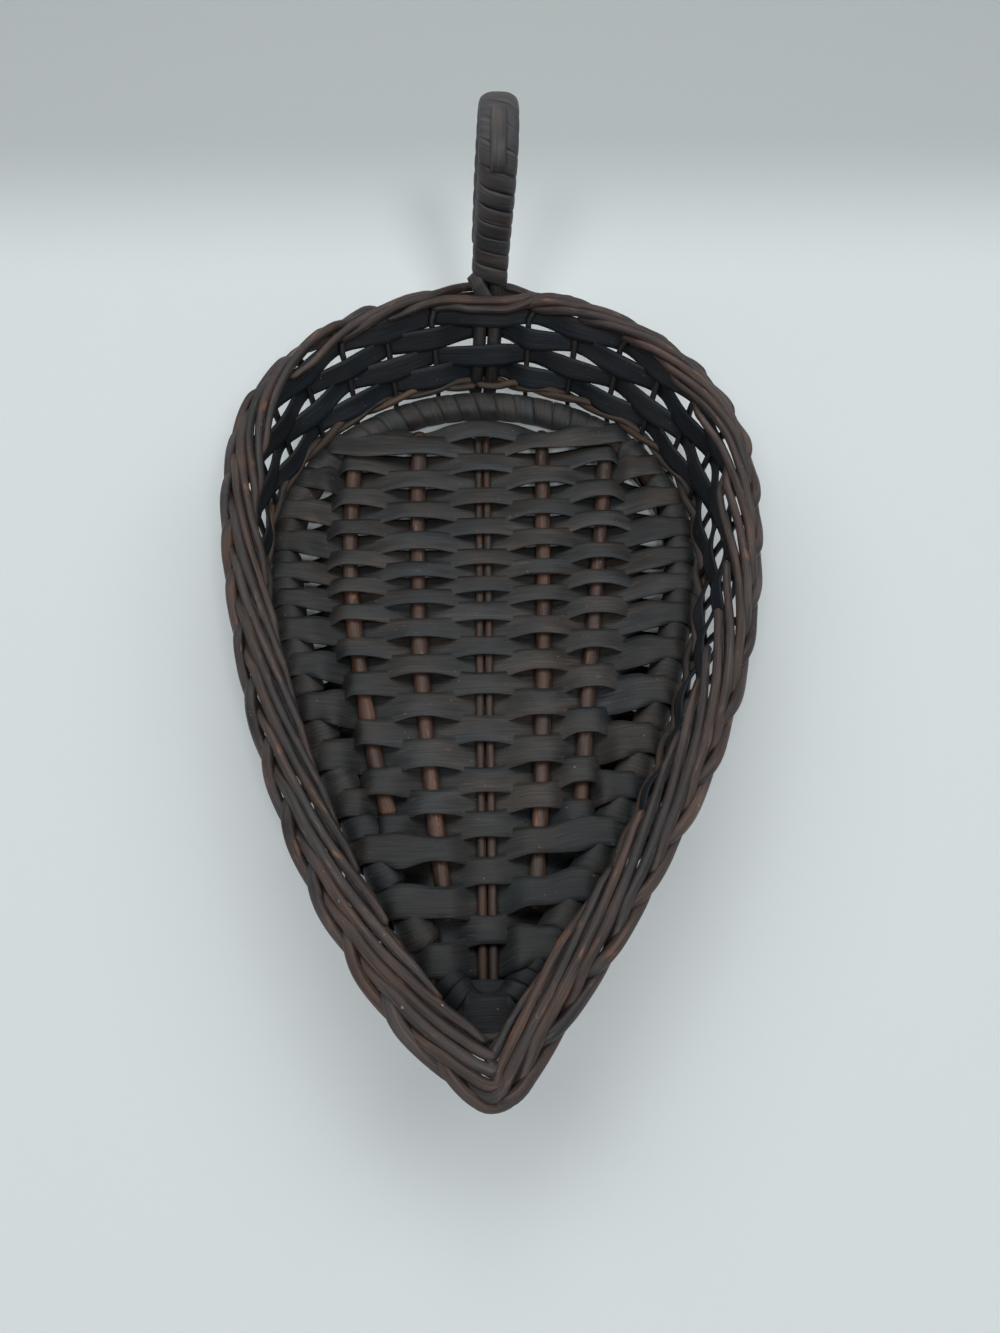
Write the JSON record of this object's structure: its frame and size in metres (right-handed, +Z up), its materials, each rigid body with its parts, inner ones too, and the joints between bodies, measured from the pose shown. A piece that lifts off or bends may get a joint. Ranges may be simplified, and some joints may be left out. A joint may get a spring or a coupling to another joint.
{
  "type": "woven serving tray basket",
  "caption": "Leaf-shaped willow serving tray: woven splint base on a wrapped hoop, low flared wall, rolled rod border and a splint-wrapped loop handle at the rear.",
  "frame": {"origin": "on the resting plane, under the middle of the overall box", "axes": "+Y from the pointed tip towards the handle, +X to the right seen from the tip, +Z up"},
  "size_m": [0.2102, 0.3828, 0.125],
  "materials": {
    "base_stick": "dark stained willow stick, worn to reddish brown on top",
    "splint": "dark stained flat willow splint with a dull satin sheen",
    "twined_rod": "dark stained thin willow rod, a little paler",
    "willow_rod": "dark stained willow rod with its bark taken off",
    "handle_splint": "dark stained flat willow splint, rubbed smooth"
  },
  "bodies": {
    "root": {"base_hoop": "base_stick", "base_stick_outer_left": "base_stick", "base_stick_inner_left": "base_stick", "base_stick_inner_right": "base_stick", "base_stick_outer_right": "base_stick", "centre_rod_left": "base_stick", "centre_rod_right": "base_stick", "base_splint_1": "splint", "base_splint_2": "splint", "base_splint_3": "splint", "base_splint_4": "splint", "hoop_wrap_rear": "splint", "hoop_wrap_tip": "splint", "wall_splint_row_1": "splint", "wall_splint_row_2": "splint", "wall_splint_row_3": "splint", "wall_splint_row_4": "splint", "foot_twine_a": "twined_rod", "foot_twine_b": "twined_rod", "stake_left_01": "willow_rod", "stake_left_02": "willow_rod", "stake_left_03": "willow_rod", "stake_left_04": "willow_rod", "stake_left_05": "willow_rod", "stake_left_06": "willow_rod", "stake_left_07": "willow_rod", "stake_left_08": "willow_rod", "stake_left_09": "willow_rod", "stake_left_10": "willow_rod", "stake_left_11": "willow_rod", "stake_left_12": "willow_rod", "stake_left_13": "willow_rod", "stake_left_14": "willow_rod", "stake_left_15": "willow_rod", "stake_left_16": "willow_rod", "stake_left_17": "willow_rod", "stake_tip": "willow_rod", "stake_right_17": "willow_rod", "stake_right_16": "willow_rod", "stake_right_15": "willow_rod", "stake_right_14": "willow_rod", "stake_right_13": "willow_rod", "stake_right_12": "willow_rod", "stake_right_11": "willow_rod", "stake_right_10": "willow_rod", "stake_right_09": "willow_rod", "stake_right_08": "willow_rod", "stake_right_07": "willow_rod", "stake_right_06": "willow_rod", "stake_right_05": "willow_rod", "stake_right_04": "willow_rod", "stake_right_03": "willow_rod", "stake_right_02": "willow_rod", "stake_right_01": "willow_rod", "handle_rod_left": "willow_rod", "handle_rod_right": "willow_rod", "handle_wrap": "handle_splint", "handle_leader": "handle_splint", "handle_tie": "handle_splint"}
  },
  "joints": []
}
